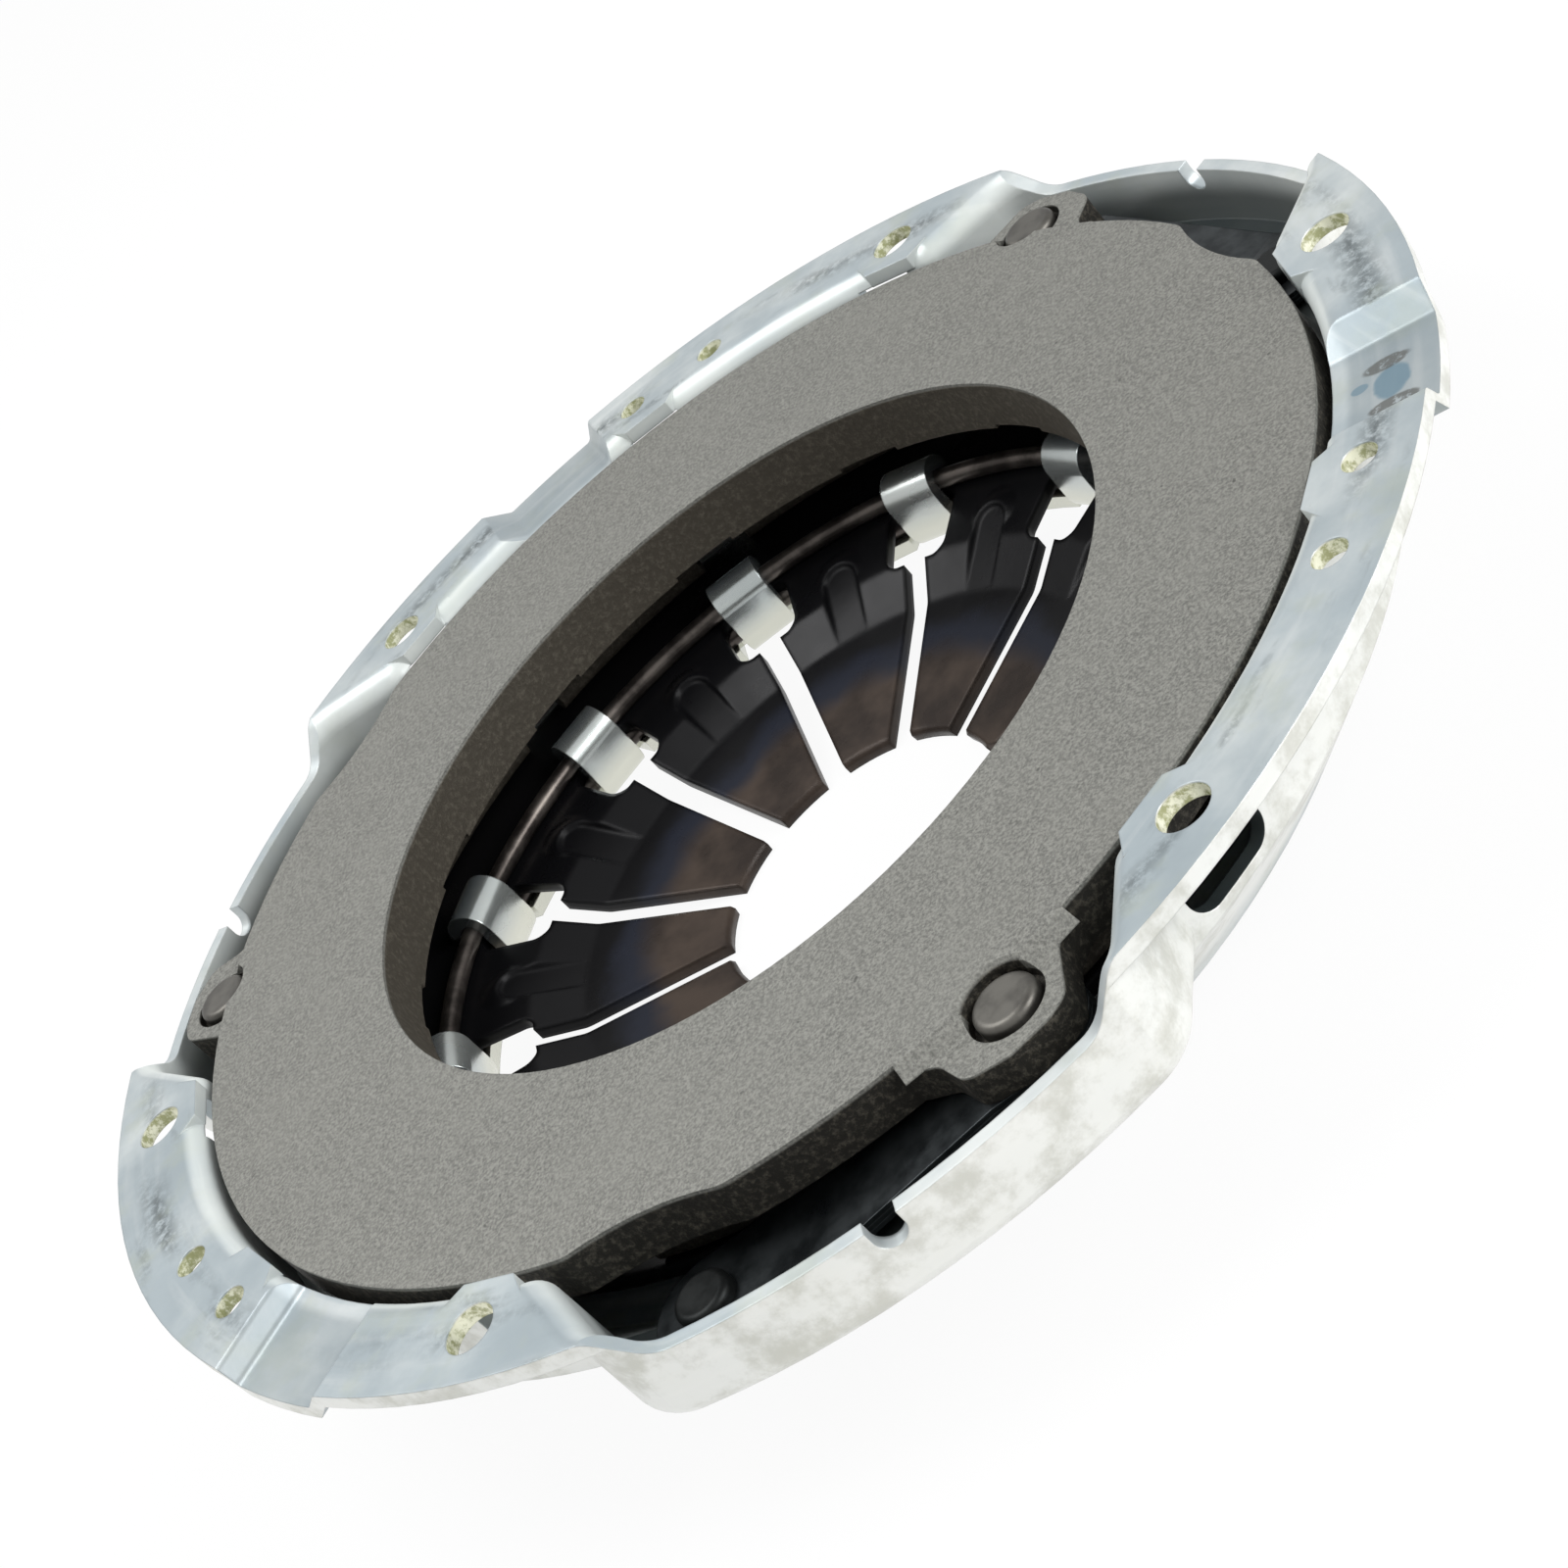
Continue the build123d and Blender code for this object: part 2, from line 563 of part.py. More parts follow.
# Pressure plate, a machined ring with a castellated ridge on its back
with BuildPart() as pressure_plate:
    with BuildSketch(Plane.XZ):
        with BuildLine():
            Polyline((bore_r, face_z), (plate_r, face_z), (plate_r, face_z - plate_edge_t),
                     (plate_r - plate_step_w, face_z - plate_step_t),
                     (ridge_r + ridge_half_w, ridge_shoulder_z),
                     (ridge_r + ridge_half_w, ridge_round_z), (ridge_r - ridge_half_w, ridge_round_z),
                     (ridge_r - ridge_half_w, ridge_shoulder_z), (ridge_r - ridge_foot_w, plate_back_z),
                     (bore_r, plate_back_z), close=True)
        make_face()
        with Locations((ridge_r, ridge_round_z)):
            Circle(ridge_half_w)
    revolve(axis=Axis.Z)
    # Gaps of the ridge
    with BuildSketch(Plane.XY.offset(ridge_shoulder_z)):
        with PolarLocations(ridge_r, fingers):
            Rectangle(4 * ridge_half_w, ridge_gap_w)
    extrude(amount=ridge_round_z - 2 * ridge_half_w - ridge_shoulder_z, mode=Mode.SUBTRACT)
    # Shallow reliefs over the hooks
    with BuildSketch(Plane.XY.offset(plate_back_z + relief_depth)):
        with PolarLocations(bore_r, fingers):
            Rectangle(2 * relief_l, relief_w)
    extrude(amount=-2 * relief_depth, mode=Mode.SUBTRACT)
    # Hollows of the rim
    with BuildSketch(Plane.XY.offset(face_z)):
        with PolarLocations(plate_r - recess_depth + recess_round, sectors, start_angle=recess_angle):
            Circle(recess_round)
    extrude(amount=-plate_inner_t, mode=Mode.SUBTRACT)
    hollow_corners = pressure_plate.edges().filter_by(Axis.Z).filter_by(
        lambda e: abs(math.hypot(e.center().X, e.center().Y) - plate_r) < 0.05)
    fillet(hollow_corners, recess_corner_r)
    # Lugs
    for number in range(sectors):
        with BuildSketch(plan_plane(lug_angle + number * sector_angle, lug_bottom)) as lug_plan:
            with BuildLine():
                Polyline(*[(lug_rivet_r + out, along) for out, along in lug_outline], close=True)
            make_face()
            lug_root_u = lug_rivet_r + lug_outline[0][0]
            fillet(lug_plan.vertices().filter_by(lambda v: v.X > lug_root_u + touch), lug_round)
        extrude(amount=lug_top - lug_bottom)
    for number in range(sectors):
        with BuildSketch(radial_plane(lug_step_from + number * sector_angle)):
            with BuildLine():
                Polyline((plate_r - lug_step_w, face_z), (plate_r, face_z), (plate_r + lug_step_w, lug_top),
                         (plate_r - lug_step_w, lug_top), close=True)
            make_face()
        revolve(axis=Axis.Z, revolution_arc=lug_step_to - lug_step_from)
    # Counterbores and holes for the lug rivets, and flat seats for the straps
    with BuildSketch(Plane.XY.offset(counterbore_floor)):
        with PolarLocations(lug_rivet_r, sectors, start_angle=lug_angle):
            Circle(counterbore_r)
    extrude(amount=plate_edge_t, mode=Mode.SUBTRACT)
    with BuildSketch(Plane.XY.offset(lug_bottom)):
        with PolarLocations(lug_rivet_r, sectors, start_angle=lug_angle):
            Circle(shank_r + shank_gap)
    extrude(amount=plate_edge_t, mode=Mode.SUBTRACT)
    for number in range(sectors):
        with BuildSketch(strap_plane(number, lug_bottom)):
            with Locations((strap_l, 0)):
                Rectangle(2 * seat_l, strap_w + 2 * seat_margin)
        extrude(amount=-plate_inner_t, mode=Mode.SUBTRACT)
    face_rims = pressure_plate.edges().filter_by(GeomType.CIRCLE)
    face_rims = face_rims.filter_by_position(Axis.Z, face_z - touch, face_z + touch)
    chamfer(face_rims.sort_by(SortBy.RADIUS)[0], bore_chamfer)

# Strap leaves, each pack rises from its pocket to its lug
strap_leaves = []
for number in range(sectors):
    for layer in range(leaves):
        with BuildPart() as leaf:
            low = cover_seat_top - layer * leaf_t
            high = lug_bottom - strap_gap - layer * leaf_t
            thick = leaf_t - strap_gap
            end = strap_w / 2
            with BuildSketch(strap_section_plane(number)):
                with BuildLine():
                    Polyline((-end, low), (clamp_l, low), (strap_l - clamp_l, high), (strap_l + end, high),
                             (strap_l + end, high - thick), (strap_l - clamp_l, high - thick),
                             (clamp_l, low - thick), (-end, low - thick), close=True)
                make_face()
            extrude(amount=strap_w / 2, both=True)
            with BuildSketch(strap_plane(number, 0)):
                with Locations((strap_l / 2, 0)):
                    SlotCenterToCenter(strap_l, strap_w)
                with Locations((0, 0), (strap_l, 0)):
                    Circle(shank_r + shank_gap, mode=Mode.SUBTRACT)
            extrude(amount=face_z, mode=Mode.INTERSECT)
        leaf.part.label = f"strap_{number + 1}_leaf_{layer + 1}"
        strap_leaves.append(leaf.part)
        export_step(leaf.part, f"parts/{leaf.part.label}.step")

# Rivets through the lugs
with BuildPart() as lug_rivets:
    with PolarLocations(lug_rivet_r, sectors, start_angle=lug_angle):
        with Locations((0, 0, lug_stack_bottom - washer_t)):
            Cylinder(shank_r, counterbore_floor - lug_stack_bottom + washer_t + lug_head_h / 2,
                     align=(Align.CENTER, Align.CENTER, Align.MIN))
        with Locations((0, 0, counterbore_floor)):
            Cylinder(lug_head_r, lug_head_h, align=(Align.CENTER, Align.CENTER, Align.MIN))
        with Locations((0, 0, lug_stack_bottom - washer_t)):
            Cylinder(closed_head_r, closed_head_h, align=(Align.CENTER, Align.CENTER, Align.MAX))
    head_ends = (counterbore_floor + lug_head_h, lug_stack_bottom - washer_t - closed_head_h)
    for end in head_ends:
        fillet(lug_rivets.edges().filter_by_position(Axis.Z, end - touch, end + touch), head_round)

# Rivets through the pockets
with BuildPart() as cover_rivets:
    with PolarLocations(cover_rivet_r, sectors, start_angle=cover_rivet_angle):
        with Locations((0, 0, pocket_floor_bottom)):
            Cylinder(shank_r, cover_seat_top - pocket_floor_bottom + cover_head_h / 2,
                     align=(Align.CENTER, Align.CENTER, Align.MIN))
        with Locations((0, 0, cover_seat_top)):
            Cylinder(cover_head_r, cover_head_h, align=(Align.CENTER, Align.CENTER, Align.MIN))
        with Locations((0, 0, pocket_floor_bottom)):
            Cylinder(closed_head_r, closed_head_h, align=(Align.CENTER, Align.CENTER, Align.MAX))
    head_ends = (cover_seat_top + cover_head_h, pocket_floor_bottom - closed_head_h)
    for end in head_ends:
        fillet(cover_rivets.edges().filter_by_position(Axis.Z, end - touch, end + touch), head_round)

# Washers under the closed heads of the lug rivets
with BuildPart() as lug_washers:
    with BuildSketch(Plane.XY.offset(lug_stack_bottom - washer_t)):
        with PolarLocations(lug_rivet_r, sectors, start_angle=lug_angle):
            Circle(washer_r)
            Circle(shank_r + shank_gap, mode=Mode.SUBTRACT)
    extrude(amount=washer_t)

# Spacers between the pocket floors and the straps
with BuildPart() as strap_spacers:
    with BuildSketch(Plane.XY.offset(pocket_floor_top)):
        with PolarLocations(cover_rivet_r, sectors, start_angle=cover_rivet_angle):
            Circle(washer_r)
            Circle(shank_r + shank_gap, mode=Mode.SUBTRACT)
    extrude(amount=washer_t)

cover.part.label = "cover"
fulcrum_ring_front.part.label = "fulcrum_ring_front"
fulcrum_ring_back.part.label = "fulcrum_ring_back"
diaphragm_spring.part.label = "diaphragm_spring"
pressure_plate.part.label = "pressure_plate"
lug_rivets.part.label = "lug_rivets"
cover_rivets.part.label = "cover_rivets"
lug_washers.part.label = "lug_washers"
strap_spacers.part.label = "strap_spacers"

export_step(cover.part, "parts/cover.step")
export_step(fulcrum_ring_front.part, "parts/fulcrum_ring_front.step")
export_step(fulcrum_ring_back.part, "parts/fulcrum_ring_back.step")
export_step(diaphragm_spring.part, "parts/diaphragm_spring.step")
export_step(pressure_plate.part, "parts/pressure_plate.step")
export_step(lug_rivets.part, "parts/lug_rivets.step")
export_step(cover_rivets.part, "parts/cover_rivets.step")
export_step(lug_washers.part, "parts/lug_washers.step")
export_step(strap_spacers.part, "parts/strap_spacers.step")
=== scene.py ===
import bpy
import math
from mathutils import Euler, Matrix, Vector


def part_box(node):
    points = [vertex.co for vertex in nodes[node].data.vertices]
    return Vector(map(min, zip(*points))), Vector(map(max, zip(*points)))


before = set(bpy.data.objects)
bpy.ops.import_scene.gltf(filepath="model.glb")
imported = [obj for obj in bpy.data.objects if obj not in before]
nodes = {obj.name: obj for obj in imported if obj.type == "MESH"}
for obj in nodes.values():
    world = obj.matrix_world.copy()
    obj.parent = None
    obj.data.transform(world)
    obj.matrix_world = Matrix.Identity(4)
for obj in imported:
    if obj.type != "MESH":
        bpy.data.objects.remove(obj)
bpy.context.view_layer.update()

MM = 0.001

# Heights and radii of the part, in metres, from the frame where a node has them
face_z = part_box("pressure_plate")[1].z
lug_z = face_z - 2.1 * MM
flange_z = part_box("cover")[1].z
hook_root_z = 10.0 * MM
hook_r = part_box("fulcrum_ring_front")[1].x + 3.2 * MM
face_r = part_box("pressure_plate")[1].x
rim_r = face_r - 12.3 * MM
flange_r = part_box("cover")[1].x
bolt_r = flange_r - 9.5 * MM
tint_r = 47.0 * MM

# Holes in a third of the flange: angle in degrees, and how far the colour of the hole reaches
bolt_hole = 4.7 * MM
small_hole = 3.3 * MM
flange_holes = ((0, bolt_hole), (60, bolt_hole), (81, small_hole), (90, small_hole))
third_start = -5.0
third_end = 115.0
dip_angle = 94.0

# Oval spots of the flange: angle, distance outside the bolt circle, half length, half width, share
ink_spots = ((339.6, 1.7, 4.0, 3.0, 0.8), (340.3, -3.7, 1.1, 1.5, 0.7))
rubbed_spots = ((337.0, 2.1, 1.6, 4.0, 0.8), (341.9, 0.9, 1.6, 4.0, 0.8))

# Camera and studio
camera_place = Vector((106.394, -444.713, 269.191)) * MM
camera_turn = (53.268, 37.399, -10.817)
camera_lens = 71.65
camera_sensor = 36.0
camera_near = 10.0 * MM
floor_size = 3.0
floor_white = 0.93
world_light = 0.7
lamp_target = Vector((0.0, 0.0, 0.03))


def rgb(red, green, blue):
    """Colour of the screen, 0 to 255, as a linear colour."""
    def linear(value):
        value /= 255
        return value / 12.92 if value <= 0.04045 else ((value + 0.055) / 1.055) ** 2.4
    return (linear(red), linear(green), linear(blue), 1.0)


class Surface:
    """A material whose nodes are made and joined in short lines."""

    def __init__(self, name):
        self.material = bpy.data.materials.new(name)
        self.material.use_nodes = True
        self.tree = self.material.node_tree
        self.shader = self.tree.nodes["Principled BSDF"]
        self.coords = self.add("ShaderNodeTexCoord").outputs["Object"]

    def add(self, kind, **settings):
        node = self.tree.nodes.new(kind)
        for key, value in settings.items():
            setattr(node, key, value)
        return node

    def put(self, socket, value):
        """Join a socket to another one, or give it a plain value."""
        if isinstance(value, bpy.types.NodeSocket):
            self.tree.links.new(value, socket)
        else:
            socket.default_value = value

    def set(self, **values):
        for key, value in values.items():
            self.put(self.shader.inputs[key.replace("_", " ")], value)

    def math(self, operation, a, b=0.0, clamp=False):
        node = self.add("ShaderNodeMath", operation=operation, use_clamp=clamp)
        self.put(node.inputs[0], a)
        self.put(node.inputs[1], b)
        return node.outputs[0]

    def times(self, a, b):
        return self.math("MULTIPLY", a, b)

    def plus(self, a, b):
        return self.math("ADD", a, b)

    def less(self, a, b):
        return self.math("SUBTRACT", a, b)

    def rest(self, value):
        """What value leaves of 1."""
        return self.less(1.0, value)

    def squares(self, a, b):
        """Square of a and square of b, added up."""
        return self.plus(self.times(a, a), self.times(b, b))

    def step(self, value, low, high):
        """0 at low, 1 at high, smooth between."""
        node = self.add("ShaderNodeMapRange", interpolation_type="SMOOTHSTEP")
        self.put(node.inputs["Value"], value)
        node.inputs["From Min"].default_value = low
        node.inputs["From Max"].default_value = high
        return node.outputs["Result"]

    def span(self, value, low, high, to_low, to_high):
        """to_low at low, to_high at high, even between."""
        node = self.add("ShaderNodeMapRange")
        self.put(node.inputs["Value"], value)
        node.inputs["From Min"].default_value = low
        node.inputs["From Max"].default_value = high
        node.inputs["To Min"].default_value = to_low
        node.inputs["To Max"].default_value = to_high
        return node.outputs["Result"]

    def mix(self, share, a, b):
        """a where the share is 0, b where it is 1."""
        node = self.add("ShaderNodeMix", data_type="RGBA")
        self.put(node.inputs["Factor"], share)
        self.put(node.inputs["A"], a)
        self.put(node.inputs["B"], b)
        return node.outputs["Result"]

    def tint(self, colour, where, share, other):
        """The colour, with a share of the other one where the mask is 1."""
        return self.mix(self.times(where, share), colour, other)

    def split(self):
        node = self.add("ShaderNodeSeparateXYZ")
        self.put(node.inputs[0], self.coords)
        return node.outputs

    def radius(self):
        """Distance from the axis."""
        x, y, _ = self.split()
        return self.math("SQRT", self.squares(x, y))

    def third(self):
        """Angle round the axis in degrees, the same on each third of a turn."""
        x, y, _ = self.split()
        turn = self.add("ShaderNodeMath", operation="WRAP")
        self.put(turn.inputs[0], self.math("DEGREES", self.math("ARCTAN2", y, x)))
        turn.inputs[1].default_value = third_end
        turn.inputs[2].default_value = third_start
        return turn.outputs[0]

    def facing_out(self):
        """1 where the surface faces away from the axis, -1 where it faces the axis."""
        flat = self.add("ShaderNodeVectorMath", operation="MULTIPLY")
        self.put(flat.inputs[0], self.coords)
        flat.inputs[1].default_value = (1.0, 1.0, 0.0)
        outward = self.add("ShaderNodeVectorMath", operation="NORMALIZE")
        self.put(outward.inputs[0], flat.outputs[0])
        dot = self.add("ShaderNodeVectorMath", operation="DOT_PRODUCT")
        self.put(dot.inputs[0], outward.outputs[0])
        self.put(dot.inputs[1], self.add("ShaderNodeTexCoord").outputs["Normal"])
        return dot.outputs["Value"]

    def noise(self, scale, detail=4.0, roughness=0.55, seed=0.0):
        """Clouds from 0 to 1, scale of them on a metre."""
        node = self.add("ShaderNodeTexNoise")
        place = self.add("ShaderNodeMapping")
        self.put(place.inputs["Vector"], self.coords)
        place.inputs["Location"].default_value = (seed, seed * 0.7, seed * 0.3)
        self.put(node.inputs["Vector"], place.outputs[0])
        node.inputs["Scale"].default_value = scale
        node.inputs["Detail"].default_value = detail
        node.inputs["Roughness"].default_value = roughness
        return node.outputs["Fac"]

    def ring_noise(self, around, across, detail=4.0, seed=0.0):
        """Noise drawn out along the rim: around counts its spots on a turn, across on a metre."""
        circle_length = 6.3
        x, y, z = self.split()
        radius = self.radius()
        place = self.add("ShaderNodeCombineXYZ")
        for socket, side in zip(place.inputs, (x, y)):
            self.put(socket, self.times(self.math("DIVIDE", side, radius), around / circle_length))
        level = self.times(self.plus(radius, z), across)
        self.put(place.inputs[2], self.plus(level, seed))
        node = self.add("ShaderNodeTexNoise")
        self.put(node.inputs["Vector"], place.outputs[0])
        node.inputs["Scale"].default_value = 1.0
        node.inputs["Detail"].default_value = detail
        return node.outputs["Fac"]

    def oval(self, radius, angle, half_length, half_width):
        """1 inside a ragged oval on the plan, 0 outside it; its length runs along the rim."""
        ragged = 0.9
        x, y, _ = self.split()
        place = math.radians(angle)
        from_x = self.less(x, radius * math.cos(place))
        from_y = self.less(y, radius * math.sin(place))
        way = place + math.pi / 2
        along = self.plus(self.times(from_x, math.cos(way)), self.times(from_y, math.sin(way)))
        over = self.less(self.times(from_y, math.cos(way)), self.times(from_x, math.sin(way)))
        along = self.math("DIVIDE", along, half_length)
        over = self.math("DIVIDE", over, half_width)
        far = self.squares(along, over)
        far = self.plus(far, self.times(self.noise(260.0, detail=3.0, seed=angle), ragged))
        return self.step(self.less(1.0 + ragged / 2, far), -0.25, 0.25)

    def holes(self):
        """1 in the holes of the flange and on their walls."""
        radius = self.radius()
        turn = self.third()
        per_degree = math.radians(bolt_r)
        found = 0.0
        for angle, reach in flange_holes:
            along = self.times(self.less(turn, angle), per_degree)
            over = self.less(radius, bolt_r)
            away = self.squares(along, over)
            found = self.math("MAXIMUM", found, self.math("LESS_THAN", away, reach * reach))
        return found

    def bump(self, height, strength, distance, soft):
        """Fine relief, and edges that look rounded over the soft length."""
        node = self.add("ShaderNodeBump")
        self.put(node.inputs["Height"], height)
        node.inputs["Strength"].default_value = strength
        node.inputs["Distance"].default_value = distance
        edge = self.add("ShaderNodeBevel", samples=6)
        edge.inputs["Radius"].default_value = soft
        self.put(node.inputs["Normal"], edge.outputs[0])
        self.put(self.shader.inputs["Normal"], node.outputs[0])


class ZincSteel(Surface):
    """The cover: bright flange, outer walls painted near white as light, painted shade in the pockets,
    painted light in the holes, and ink.
    """

    def __init__(self):
        super().__init__("zinc_plated_steel")
        self.height = self.split()[2]
        self.from_axis = self.radius()
        facing = self.facing_out()
        self.cloud = self.noise(28.0, detail=5.0, roughness=0.6)
        self.fine = self.noise(520.0, detail=5.0, roughness=0.7, seed=3.0)
        self.drawn = self.ring_noise(26.0, 330.0, detail=5.0)
        self.top = self.step(self.height, flange_z - 0.4 * MM, flange_z - 0.1 * MM)
        on_rim = self.step(self.from_axis, rim_r, rim_r + 12.0 * MM)
        self.outward = self.times(self.step(facing, 0.2, 0.6), on_rim)
        self.inward = self.step(facing, -0.2, -0.6)
        self.hooks = self.rest(self.step(self.from_axis, hook_r, hook_r + 6.0 * MM))
        colour = self.plating()
        colour = self.streaks(colour)
        colour = self.wall_light_and_shade(colour)
        colour = self.paint_pocket_shade(colour)
        colour = self.hole_light_and_hook_tint(colour)
        colour = self.spots(colour)
        self.finish(colour)

    def plating(self):
        colour = self.mix(self.step(self.cloud, 0.35, 0.68), rgb(166, 177, 182), rgb(204, 209, 208))
        colour = self.tint(colour, self.step(self.drawn, 0.48, 0.72), 0.35, rgb(222, 224, 222))
        patches = self.span(self.noise(48.0, detail=5.0, roughness=0.6, seed=6.0), 0.35, 0.65, 0.7, 0.1)
        return self.tint(colour, self.top, patches, rgb(150, 161, 166))

    def streaks(self, colour):
        """Rubbed streaks, mostly along the middle of the flange, and a greenish patina."""
        middle_r = bolt_r + 1.8 * MM
        fade_on_a_metre = 240.0
        off_middle = self.math("ABSOLUTE", self.less(self.from_axis, middle_r))
        middle = self.math("SUBTRACT", 1.0, self.times(off_middle, fade_on_a_metre), clamp=True)
        streak = self.times(self.step(self.ring_noise(15.0, 60.0, detail=6.0, seed=8.0), 0.44, 0.58), middle)
        scuff = self.ring_noise(34.0, 210.0, detail=7.0, seed=4.0)
        scuff = self.times(self.step(scuff, 0.56, 0.74), 0.6)
        dark = self.times(self.math("MAXIMUM", scuff, streak), self.step(self.fine, 0.34, 0.58))
        strength = self.plus(0.12, self.times(self.top, 0.76))
        colour = self.tint(colour, dark, strength, rgb(84, 92, 94))
        patina = self.step(self.noise(70.0, roughness=0.6, seed=9.0), 0.5, 0.68)
        return self.tint(colour, patina, 0.28, rgb(170, 176, 154))

    def wall_light_and_shade(self, colour):
        """Painted light and shade on the walls: inner walls painted lighter, outer walls painted near white
        as light with stains, and painted shade on the slopes of the dips.
        """
        # Painted light: walls that face the axis are tinted lighter.
        colour = self.tint(colour, self.inward, 0.5, rgb(218, 223, 218))
        # Painted light: walls that face outwards are painted near white, with random stains.
        stain = self.step(self.noise(95.0, detail=5.0, roughness=0.7, seed=12.0), 0.42, 0.66)
        wall_light_and_stains = self.mix(stain, rgb(238, 238, 233), rgb(204, 203, 193))
        colour = self.tint(colour, self.outward, 0.8, wall_light_and_stains)
        # Painted shade: the slopes of the dips are tinted darker grey.
        dip_shade = self.times(self.step(self.third(), dip_angle - 1.5, dip_angle), self.rest(self.top))
        dip_shade = self.times(dip_shade, self.step(self.from_axis, flange_r - 16.0 * MM, flange_r - 14.0 * MM))
        dip_shade = self.times(dip_shade, self.rest(self.outward))
        return self.tint(colour, dip_shade, 0.45, rgb(112, 124, 130))

    def paint_pocket_shade(self, colour):
        """Painted shade: the pockets and the gap behind the plate are painted dull and dark."""
        past_plate = self.step(self.from_axis, face_r - 0.3 * MM, face_r + 1.2 * MM)
        past_flange = self.step(self.from_axis, flange_r - 2.4 * MM, flange_r - 1.6 * MM)
        inside = self.times(past_plate, self.rest(past_flange))
        inside = self.times(inside, self.rest(self.outward))
        high = self.step(self.height, face_z - 11.5 * MM, face_z - 5.5 * MM)
        pocket_shade_mask = self.times(inside, self.rest(high))
        # Painted shade deep in the pockets, a little less on walls that face the axis.
        return self.tint(colour, pocket_shade_mask, self.less(0.9, self.times(self.inward, 0.15)), rgb(40, 48, 48))

    def hole_light_and_hook_tint(self, colour):
        """Painted light in the holes: pale with olive patches on their walls, as light seen through them;
        pale yellow at the roots of the hooks.
        """
        low = self.step(self.height, hook_root_z + 6.0 * MM, hook_root_z)
        colour = self.tint(colour, self.times(self.hooks, low), 0.6, rgb(236, 234, 216))
        # Painted light: the walls of the holes are painted pale with olive patches.
        painted_hole_light = self.mix(self.step(self.fine, 0.42, 0.6), rgb(238, 238, 214), rgb(150, 152, 96))
        return self.tint(colour, self.times(self.holes(), self.rest(self.top)), 0.85, painted_hole_light)

    def spots(self, colour):
        """Oval mark of blue ink, with rubbed patches beside it."""
        for angle, outside, length, width, share in ink_spots:
            ink = self.oval(bolt_r + outside * MM, angle, length * MM, width * MM)
            colour = self.tint(colour, ink, share, rgb(96, 126, 142))
        for angle, outside, length, width, share in rubbed_spots:
            patch = self.oval(bolt_r + outside * MM, angle, length * MM, width * MM)
            patch = self.times(patch, self.step(self.fine, 0.36, 0.5))
            colour = self.tint(colour, patch, share, rgb(84, 84, 80))
        return colour

    def finish(self, colour):
        """Metal and gloss: the hooks are brighter, the inner walls duller."""
        dull = self.times(self.inward, self.less(0.3, self.times(self.hooks, 0.3)))
        metal = self.less(self.span(self.hooks, 0.0, 1.0, 0.45, 0.85), dull)
        rough = self.less(self.span(self.cloud, 0.3, 0.7, 0.32, 0.46), self.times(self.hooks, 0.14))
        self.set(Base_Color=colour, Metallic=metal, Roughness=rough)
        relief = self.plus(self.fine, self.times(self.drawn, 0.6))
        self.bump(relief, strength=0.14, distance=0.1 * MM, soft=0.4 * MM)


def cast_iron():
    """The plate: friction face and lug tops finely machined, the rest raw."""
    paint = Surface("cast_iron")
    height = paint.split()[2]
    radius = paint.radius()
    fine = paint.noise(1950.0, detail=3.0, roughness=0.7)
    cloud = paint.noise(60.0, roughness=0.6, seed=7.0)
    coarse = paint.noise(900.0, roughness=0.75, seed=5.0)
    pits = paint.step(paint.noise(520.0, detail=1.0, roughness=0.5, seed=11.0), 0.765, 0.79)
    ground = paint.mix(paint.step(fine, 0.3, 0.7), rgb(91, 91, 87), rgb(138, 138, 132))
    ground = paint.tint(ground, paint.step(cloud, 0.4, 0.7), 0.25, rgb(128, 128, 122))
    ground = paint.tint(ground, pits, 0.6, rgb(52, 51, 49))
    raw = paint.mix(paint.step(radius, rim_r - 10.0 * MM, rim_r), rgb(66, 61, 52), rgb(33, 31, 26))
    raw = paint.tint(raw, paint.step(coarse, 0.45, 0.7), 0.55, rgb(104, 99, 88))
    on_face = paint.step(height, face_z - 0.9 * MM, face_z - 0.3 * MM)
    past_face = paint.step(radius, face_r + 0.2 * MM, face_r + 0.5 * MM)
    on_lug = paint.times(paint.step(height, lug_z - 0.5 * MM, lug_z - 0.1 * MM), past_face)
    machined = paint.math("MAXIMUM", on_face, on_lug)
    paint.set(Base_Color=paint.mix(machined, raw, ground), Metallic=0.35,
              Roughness=paint.less(0.68, paint.times(machined, 0.13)))
    relief = paint.plus(paint.times(coarse, paint.rest(machined)), paint.times(fine, 0.12))
    paint.bump(relief, strength=0.5, distance=0.5 * MM, soft=0.3 * MM)
    return paint.material


def black_spring():
    """The spring: near black, blue and then brown towards the tips of its fingers."""
    paint = Surface("blackened_spring_steel")
    cloud = paint.noise(60.0, roughness=0.6)
    wander = paint.plus(paint.radius(), paint.times(paint.less(cloud, 0.5), 12.0 * MM))
    colour = paint.mix(paint.step(cloud, 0.35, 0.65), rgb(44, 37, 33), rgb(70, 60, 53))
    colour = paint.mix(paint.step(wander, tint_r - 6.0 * MM, tint_r), colour, rgb(32, 35, 45))
    colour = paint.mix(paint.step(wander, tint_r, tint_r + 6.0 * MM), colour, rgb(15, 15, 17))
    paint.set(Base_Color=colour, Metallic=0.2, Specular_IOR_Level=0.18,
              Roughness=paint.span(cloud, 0.3, 0.7, 0.24, 0.36))
    paint.bump(paint.noise(300.0, detail=3.0), strength=0.12, distance=0.2 * MM, soft=1.2 * MM)
    return paint.material


def plain_steel(name, dark, light, roughness):
    """Steel with faint clouds, for wires, straps and rivets."""
    paint = Surface(name)
    cloud = paint.noise(160.0, roughness=0.6)
    paint.set(Base_Color=paint.mix(paint.step(cloud, 0.35, 0.65), dark, light), Metallic=0.85,
              Roughness=paint.span(cloud, 0.3, 0.7, roughness - 0.05, roughness + 0.08))
    relief = paint.noise(700.0, detail=3.0, seed=2.0)
    paint.bump(relief, strength=0.15, distance=0.1 * MM, soft=0.3 * MM)
    return paint.material


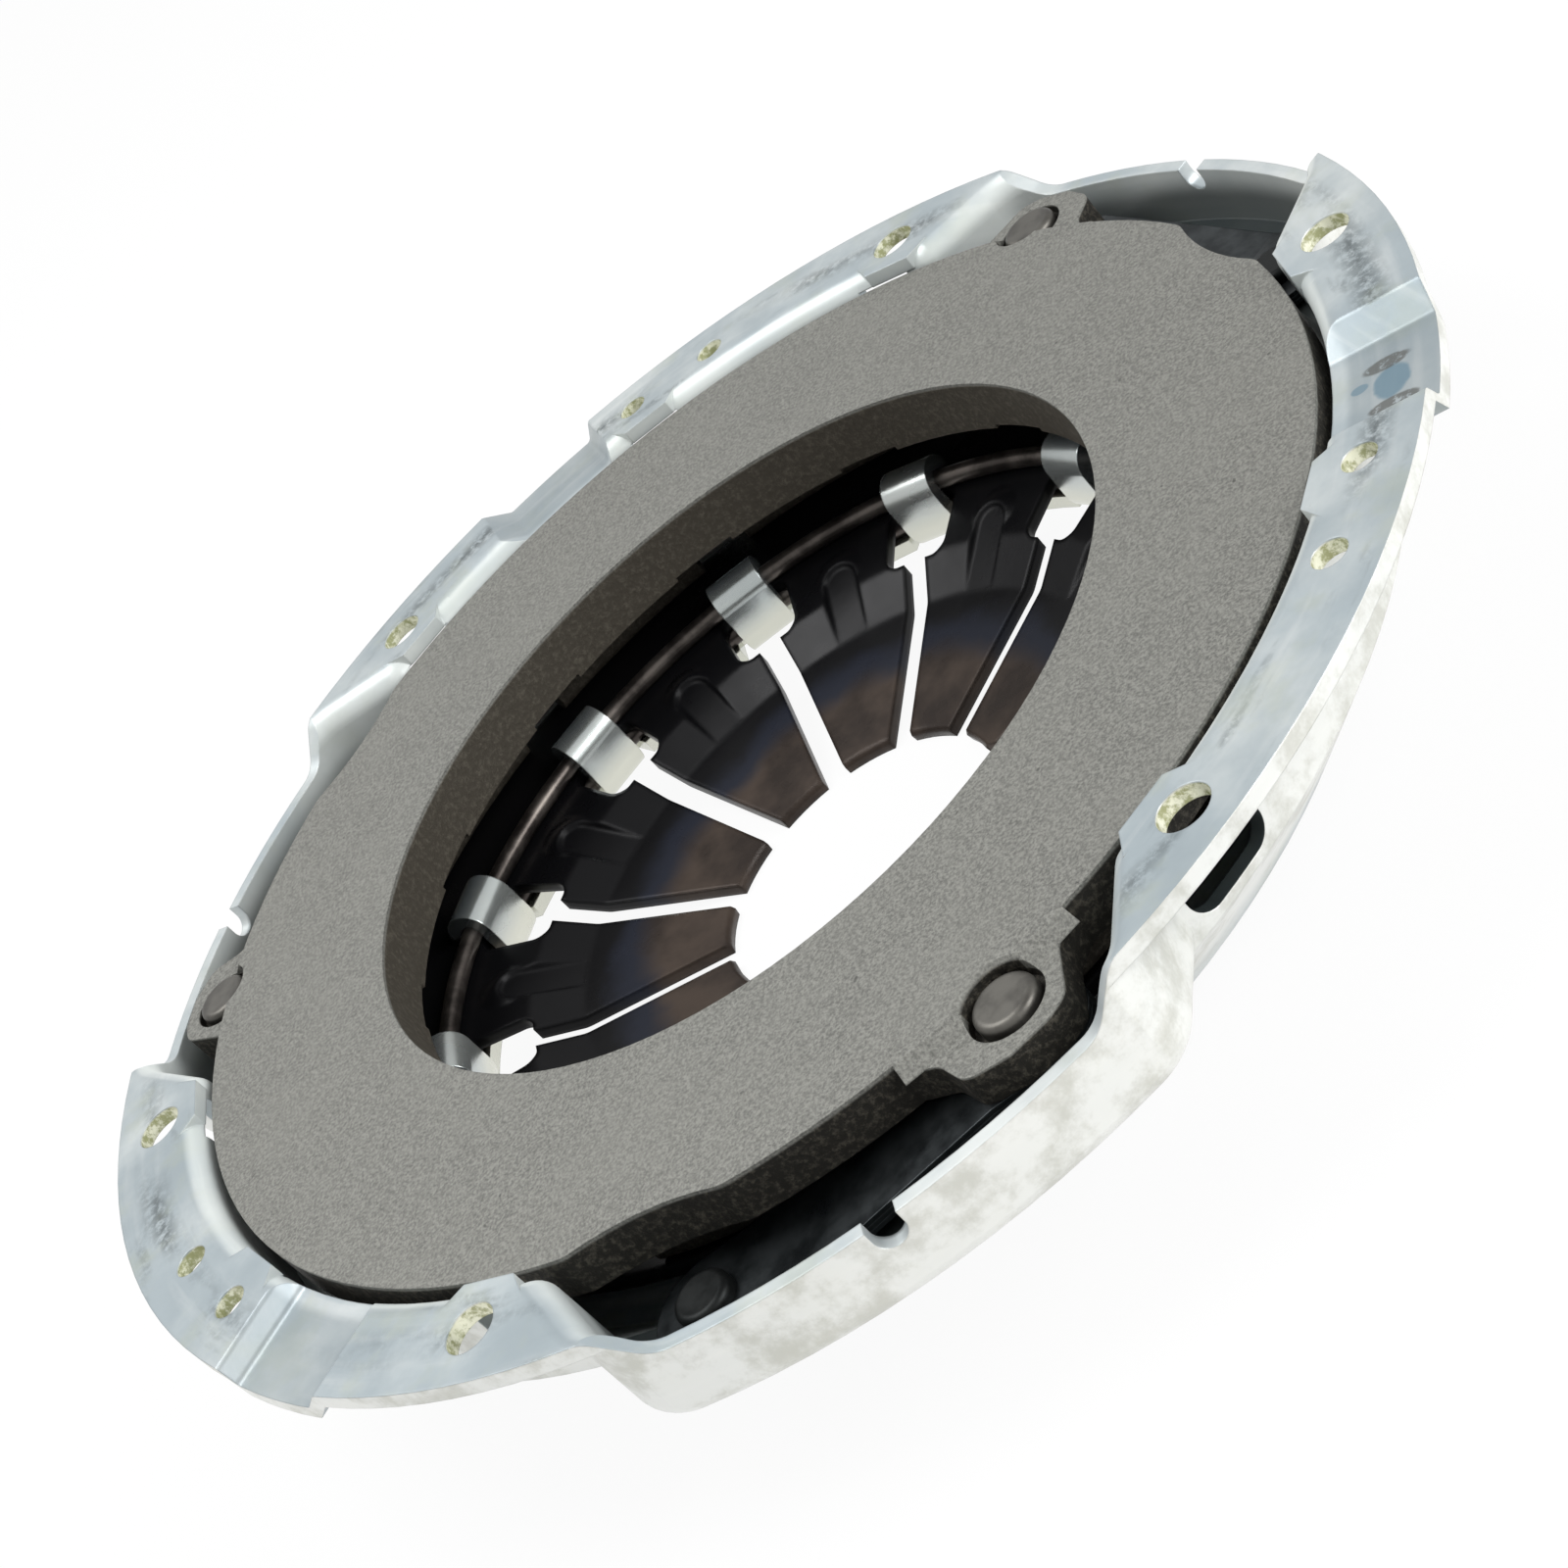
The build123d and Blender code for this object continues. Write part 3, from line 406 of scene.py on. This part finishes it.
def paint_nodes():
    """Give each node the finish whose name its own begins with, or else that of the rivets."""
    spacer_colours = (rgb(84, 82, 78), rgb(106, 104, 99))
    finishes = {
        "cover": ZincSteel().material,
        "pressure_plate": cast_iron(),
        "diaphragm_spring": black_spring(),
        "fulcrum_ring": plain_steel("wire_steel", rgb(66, 61, 58), rgb(104, 98, 93), 0.34),
        "strap": plain_steel("strap_steel", rgb(44, 48, 50), rgb(66, 70, 72), 0.3),
        "strap_spacers": plain_steel("spacer_steel", *spacer_colours, 0.42),
        "rivet": plain_steel("rivet_steel", *spacer_colours, 0.42),
        # Painted shade: the cover rivets are painted near black, as the shade of the pockets they sit in.
        "cover_rivets": plain_steel("cover_rivet_painted_shade", rgb(26, 28, 28), rgb(42, 44, 44), 0.45),
    }
    for name, node in nodes.items():
        fitting = [start for start in finishes if name.startswith(start)]
        finish = finishes[max(fitting, key=len, default="rivet")]
        node.data.materials.clear()
        node.data.materials.append(finish)


def make_camera():
    """Camera, where the photograph was taken from."""
    data = bpy.data.cameras.new("camera")
    data.sensor_width = camera_sensor
    data.lens = camera_lens
    data.clip_start = camera_near
    camera = bpy.data.objects.new("camera", data)
    camera.location = camera_place
    camera.rotation_euler = Euler([math.radians(a) for a in camera_turn])
    bpy.context.scene.collection.objects.link(camera)
    bpy.context.scene.camera = camera


def make_floor():
    """White floor: matt to the light, glowing to the camera and in reflections."""
    mesh = bpy.data.meshes.new("floor")
    corners = ((-1, -1), (1, -1), (1, 1), (-1, 1))
    mesh.from_pydata([(x * floor_size, y * floor_size, 0) for x, y in corners], [], [(0, 1, 2, 3)])
    floor = bpy.data.objects.new("floor", mesh)
    bpy.context.scene.collection.objects.link(floor)
    paint = Surface("floor")
    path = paint.add("ShaderNodeLightPath")
    seen = paint.math("MAXIMUM", path.outputs["Is Camera Ray"], path.outputs["Is Glossy Ray"])
    glow = paint.add("ShaderNodeEmission")
    glow.inputs["Strength"].default_value = 1.0
    blend = paint.add("ShaderNodeMixShader")
    paint.set(Base_Color=(0.85, 0.85, 0.85, 1.0), Roughness=0.9)
    paint.put(blend.inputs[0], paint.times(seen, floor_white))
    paint.put(blend.inputs[1], paint.shader.outputs[0])
    paint.put(blend.inputs[2], glow.outputs[0])
    paint.put(paint.tree.nodes["Material Output"].inputs["Surface"], blend.outputs[0])
    mesh.materials.append(paint.material)


def make_lamp(name, place, size, power):
    """Round lamp that shines at the middle of the part."""
    data = bpy.data.lights.new(name, "AREA")
    data.shape = "DISK"
    data.size = size
    data.energy = power
    lamp = bpy.data.objects.new(name, data)
    lamp.location = place
    lamp.rotation_euler = (lamp_target - Vector(place)).to_track_quat("-Z", "Y").to_euler()
    bpy.context.scene.collection.objects.link(lamp)


def make_world():
    """Even white light from all round."""
    world = bpy.data.worlds.new("world")
    bpy.context.scene.world = world
    world.use_nodes = True
    back = world.node_tree.nodes["Background"]
    back.inputs["Color"].default_value = (1.0, 1.0, 1.0, 1.0)
    back.inputs["Strength"].default_value = world_light


bpy.context.scene.view_settings.view_transform = "Standard"
make_camera()
paint_nodes()
make_floor()
make_world()
make_lamp("key", (-0.4, 0.2, 1.0), size=0.7, power=7.0)
make_lamp("side", (0.9, -0.4, 0.5), size=0.6, power=8.0)
